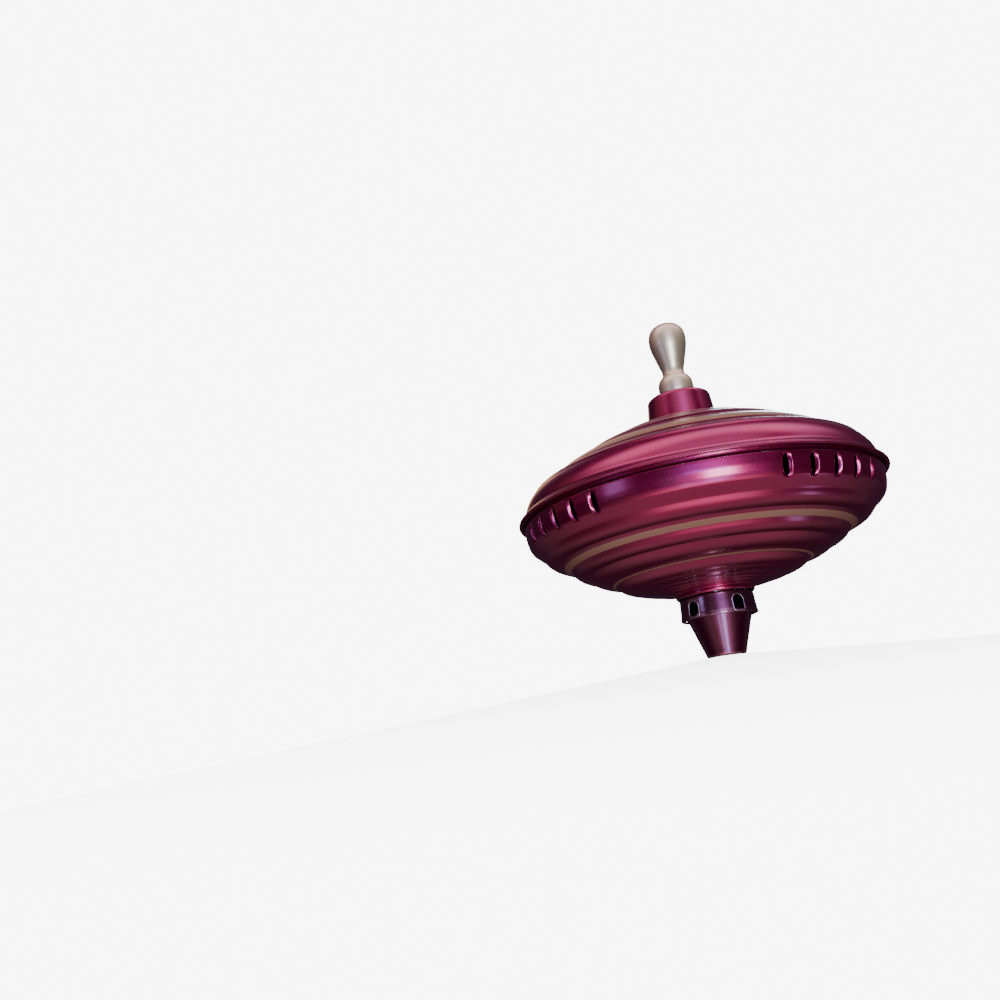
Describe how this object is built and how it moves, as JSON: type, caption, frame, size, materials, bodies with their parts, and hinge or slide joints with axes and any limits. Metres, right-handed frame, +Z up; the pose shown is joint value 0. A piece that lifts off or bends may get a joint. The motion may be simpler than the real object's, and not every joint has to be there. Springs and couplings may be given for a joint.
{
  "type": "tin spinning top",
  "caption": "Pump-action humming top in lacquered tin: two pressed shells with whistle slots turn on a standing foot, driven by a knob on a twisted rod.",
  "frame": {"origin": "centre of the foot's flat underside, on the surface that the top stands on", "axes": "+Z up along the spin axis, from the foot to the knob; +X and +Y lie in the surface it stands on"},
  "size_m": [0.19, 0.19, 0.184],
  "materials": {
    "burgundy_lacquer": "metallic burgundy lacquer on pressed tinplate, with printed gold stripes",
    "champagne_gold": "satin champagne gold metallic paint",
    "steel": "drawn and stamped bright steel",
    "tinplate": "bare tinplate",
    "brass": "rolled brass strip",
    "nylon": "moulded white nylon"
  },
  "bodies": {
    "foot": {"foot_cone": "burgundy_lacquer", "pivot_bearing": "brass", "foot_retainer": "tinplate"},
    "top": {"lower_shell": "burgundy_lacquer", "upper_shell": "burgundy_lacquer", "collar": "burgundy_lacquer", "guide_bush": "nylon", "nut_cage": "tinplate", "clutch_plate": "steel", "centre_tube": "tinplate", "air_ring": "burgundy_lacquer", "reed_plate": "tinplate", "pivot_pin": "steel", "reed_1": "brass", "reed_2": "brass", "reed_3": "brass", "reed_4": "brass", "reed_5": "brass", "reed_rivet_1": "tinplate", "reed_rivet_2": "tinplate", "reed_rivet_3": "tinplate", "reed_rivet_4": "tinplate", "reed_rivet_5": "tinplate"},
    "handle": {"knob": "champagne_gold", "drive_rod": "steel", "rod_stop": "steel"},
    "nut": {"drive_nut": "steel"}
  },
  "joints": [
    {"name": "spin", "type": "hinge", "parent": "foot", "child": "top", "pos_m": [0, 0, 0.01], "axis": [0, 0, 1], "continuous": true},
    {"name": "pump", "type": "slide", "parent": "foot", "child": "handle", "axis": [0, 0, 1], "range_m": [0, 0.08]},
    {"name": "nut_turn", "type": "hinge", "parent": "foot", "child": "nut", "pos_m": [0, 0, 0.124], "axis": [0, 0, 1], "range_deg": [-725, 5]}
  ],
  "couplings": [
    {"joint": "nut_turn", "follows": "pump", "rad_per_m": -157.08}
  ]
}
